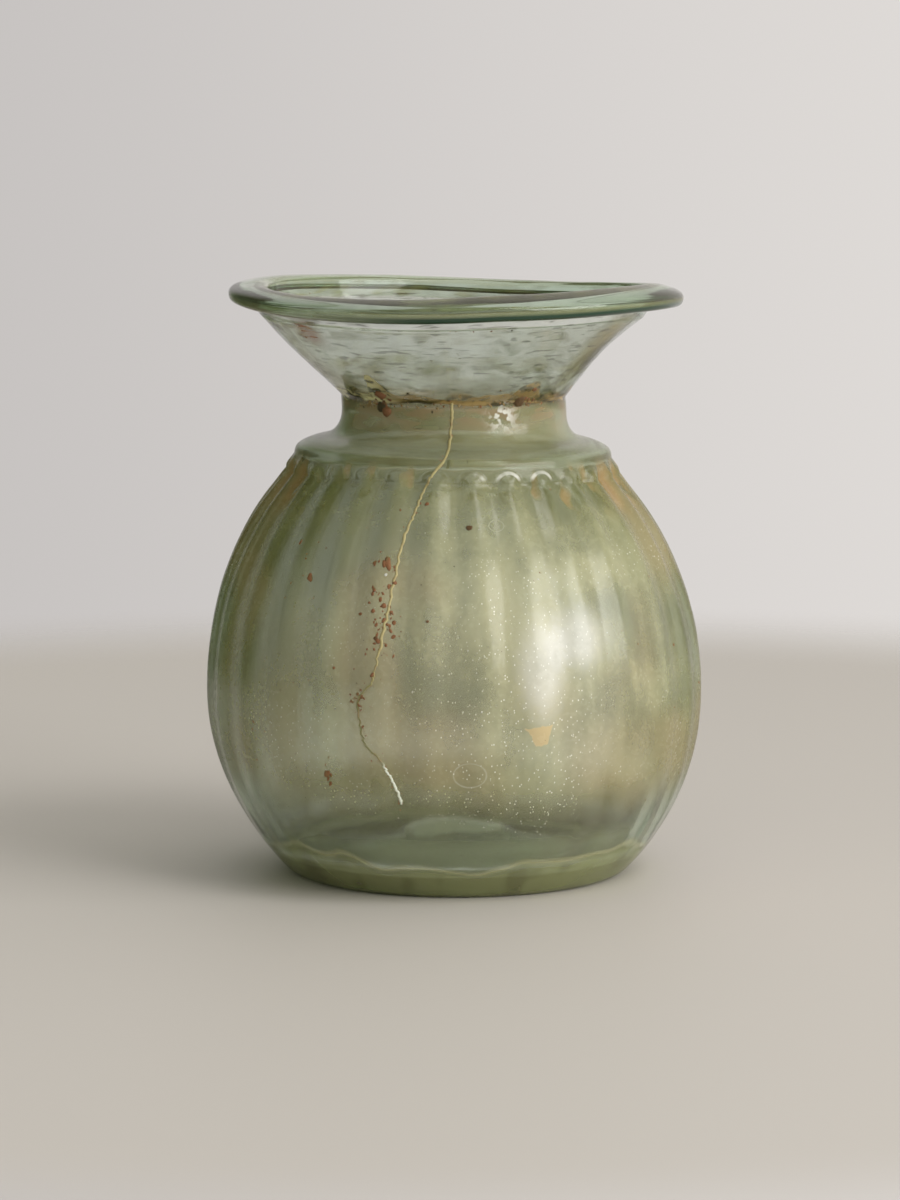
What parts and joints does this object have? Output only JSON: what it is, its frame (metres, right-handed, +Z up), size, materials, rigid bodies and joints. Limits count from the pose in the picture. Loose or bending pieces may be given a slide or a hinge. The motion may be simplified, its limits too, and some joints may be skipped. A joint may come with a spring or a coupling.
{
  "type": "ribbed glass vase",
  "caption": "Small ribbed mould-blown glass jar with a globular body, short neck and wide funnel mouth with a rolled lip; stands on its base.",
  "frame": {"origin": "on the plane that the vase stands on, under the middle of the widest part of the body", "axes": "+Z up through the mouth, -Y towards the side that the picture shows, +X to its right"},
  "size_m": [0.077, 0.077, 0.0936],
  "materials": {
    "glass": "pale green translucent glass, dulled by weathering, with patches of iridescence and dirt"
  },
  "bodies": {
    "root": {"glass_vase": "glass"}
  },
  "joints": []
}
